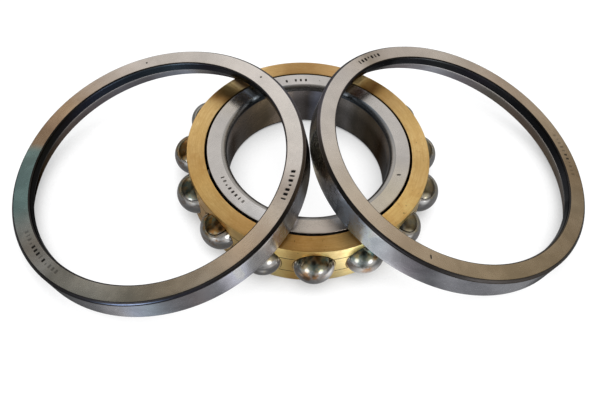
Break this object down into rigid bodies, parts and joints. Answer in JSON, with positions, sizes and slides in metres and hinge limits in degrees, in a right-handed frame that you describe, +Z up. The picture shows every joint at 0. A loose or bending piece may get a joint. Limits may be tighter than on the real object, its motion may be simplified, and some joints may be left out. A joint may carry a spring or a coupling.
{
  "type": "four-point contact ball bearing",
  "caption": "Ball bearing laid open: a solid inner ring inside a brass cage of steel balls, with the halves of its split outer ring leaning on the cage.",
  "frame": {"origin": "the middle of the laid-out set's footprint, on the table; the bearing's own axis is vertical and stands 0.82 mm to -X and 12.08 mm to +Y of it", "axes": "+Z up, along the inner ring's axis; +X towards the right outer half; +Y away from the viewer of the front"},
  "size_m": [0.4228, 0.2536, 0.0689],
  "materials": {
    "inner_ring_steel": "ground",
    "outer_ring_steel": "ground",
    "ball_steel": "polished",
    "cage_brass": "turned, matte"
  },
  "bodies": {
    "inner_ring": {"inner_ring": "inner_ring_steel"},
    "cage": {"ball_cage": "cage_brass"},
    "ball_01": {"ball_01": "ball_steel"},
    "ball_02": {"ball_02": "ball_steel"},
    "ball_03": {"ball_03": "ball_steel"},
    "ball_04": {"ball_04": "ball_steel"},
    "ball_05": {"ball_05": "ball_steel"},
    "ball_06": {"ball_06": "ball_steel"},
    "ball_07": {"ball_07": "ball_steel"},
    "ball_08": {"ball_08": "ball_steel"},
    "ball_09": {"ball_09": "ball_steel"},
    "ball_10": {"ball_10": "ball_steel"},
    "ball_11": {"ball_11": "ball_steel"},
    "ball_12": {"ball_12": "ball_steel"},
    "ball_13": {"ball_13": "ball_steel"},
    "ball_14": {"ball_14": "ball_steel"},
    "ball_15": {"ball_15": "ball_steel"},
    "outer_half_left": {"outer_half_left": "outer_ring_steel"},
    "outer_half_right": {"outer_half_right": "outer_ring_steel"}
  },
  "joints": [
    {"name": "cage_spin", "type": "hinge", "parent": "inner_ring", "child": "cage", "pos_m": [-0.00082, 0.01208, 0.02], "axis": [0, 0, 1], "continuous": true},
    {"name": "ball_01_roll", "type": "hinge", "parent": "cage", "child": "ball_01", "pos_m": [0.01052, -0.07256, 0.02], "axis": [0, 0, 1], "continuous": true},
    {"name": "ball_02_roll", "type": "hinge", "parent": "cage", "child": "ball_02", "pos_m": [0.04396, -0.06063, 0.02], "axis": [0, 0, 1], "continuous": true},
    {"name": "ball_03_roll", "type": "hinge", "parent": "cage", "child": "ball_03", "pos_m": [0.06967, -0.03613, 0.02], "axis": [0, 0, 1], "continuous": true},
    {"name": "ball_04_roll", "type": "hinge", "parent": "cage", "child": "ball_04", "pos_m": [0.08318, -0.00329, 0.02], "axis": [0, 0, 1], "continuous": true},
    {"name": "ball_05_roll", "type": "hinge", "parent": "cage", "child": "ball_05", "pos_m": [0.08217, 0.0322, 0.02], "axis": [0, 0, 1], "continuous": true},
    {"name": "ball_06_roll", "type": "hinge", "parent": "cage", "child": "ball_06", "pos_m": [0.06681, 0.06422, 0.02], "axis": [0, 0, 1], "continuous": true},
    {"name": "ball_07_roll", "type": "hinge", "parent": "cage", "child": "ball_07", "pos_m": [0.03976, 0.08722, 0.02], "axis": [0, 0, 1], "continuous": true},
    {"name": "ball_08_roll", "type": "hinge", "parent": "cage", "child": "ball_08", "pos_m": [0.00568, 0.09723, 0.02], "axis": [0, 0, 1], "continuous": true},
    {"name": "ball_09_roll", "type": "hinge", "parent": "cage", "child": "ball_09", "pos_m": [-0.02951, 0.09252, 0.02], "axis": [0, 0, 1], "continuous": true},
    {"name": "ball_10_roll", "type": "hinge", "parent": "cage", "child": "ball_10", "pos_m": [-0.05975, 0.07389, 0.02], "axis": [0, 0, 1], "continuous": true},
    {"name": "ball_11_roll", "type": "hinge", "parent": "cage", "child": "ball_11", "pos_m": [-0.0798, 0.04458, 0.02], "axis": [0, 0, 1], "continuous": true},
    {"name": "ball_12_roll", "type": "hinge", "parent": "cage", "child": "ball_12", "pos_m": [-0.08619, 0.00965, 0.02], "axis": [0, 0, 1], "continuous": true},
    {"name": "ball_13_roll", "type": "hinge", "parent": "cage", "child": "ball_13", "pos_m": [-0.07782, -0.02486, 0.02], "axis": [0, 0, 1], "continuous": true},
    {"name": "ball_14_roll", "type": "hinge", "parent": "cage", "child": "ball_14", "pos_m": [-0.05614, -0.05298, 0.02], "axis": [0, 0, 1], "continuous": true},
    {"name": "ball_15_roll", "type": "hinge", "parent": "cage", "child": "ball_15", "pos_m": [-0.02489, -0.06986, 0.02], "axis": [0, 0, 1], "continuous": true},
    {"name": "outer_half_left_spin", "type": "hinge", "parent": "inner_ring", "child": "outer_half_left", "pos_m": [-0.10716, -0.01976, 0.04424], "axis": [-0.2219, -0.0665, 0.9728], "continuous": true},
    {"name": "outer_half_right_spin", "type": "hinge", "parent": "inner_ring", "child": "outer_half_right", "pos_m": [0.10738, 0.01938, 0.04437], "axis": [0.2323, 0.0157, 0.9725], "continuous": true}
  ],
  "couplings": [
    {"joint": "ball_01_roll", "follows": "cage_spin", "ratio": 4.6627},
    {"joint": "ball_02_roll", "follows": "cage_spin", "ratio": 4.6627},
    {"joint": "ball_03_roll", "follows": "cage_spin", "ratio": 4.6627},
    {"joint": "ball_04_roll", "follows": "cage_spin", "ratio": 4.6627},
    {"joint": "ball_05_roll", "follows": "cage_spin", "ratio": 4.6627},
    {"joint": "ball_06_roll", "follows": "cage_spin", "ratio": 4.6627},
    {"joint": "ball_07_roll", "follows": "cage_spin", "ratio": 4.6627},
    {"joint": "ball_08_roll", "follows": "cage_spin", "ratio": 4.6627},
    {"joint": "ball_09_roll", "follows": "cage_spin", "ratio": 4.6627},
    {"joint": "ball_10_roll", "follows": "cage_spin", "ratio": 4.6627},
    {"joint": "ball_11_roll", "follows": "cage_spin", "ratio": 4.6627},
    {"joint": "ball_12_roll", "follows": "cage_spin", "ratio": 4.6627},
    {"joint": "ball_13_roll", "follows": "cage_spin", "ratio": 4.6627},
    {"joint": "ball_14_roll", "follows": "cage_spin", "ratio": 4.6627},
    {"joint": "ball_15_roll", "follows": "cage_spin", "ratio": 4.6627}
  ]
}
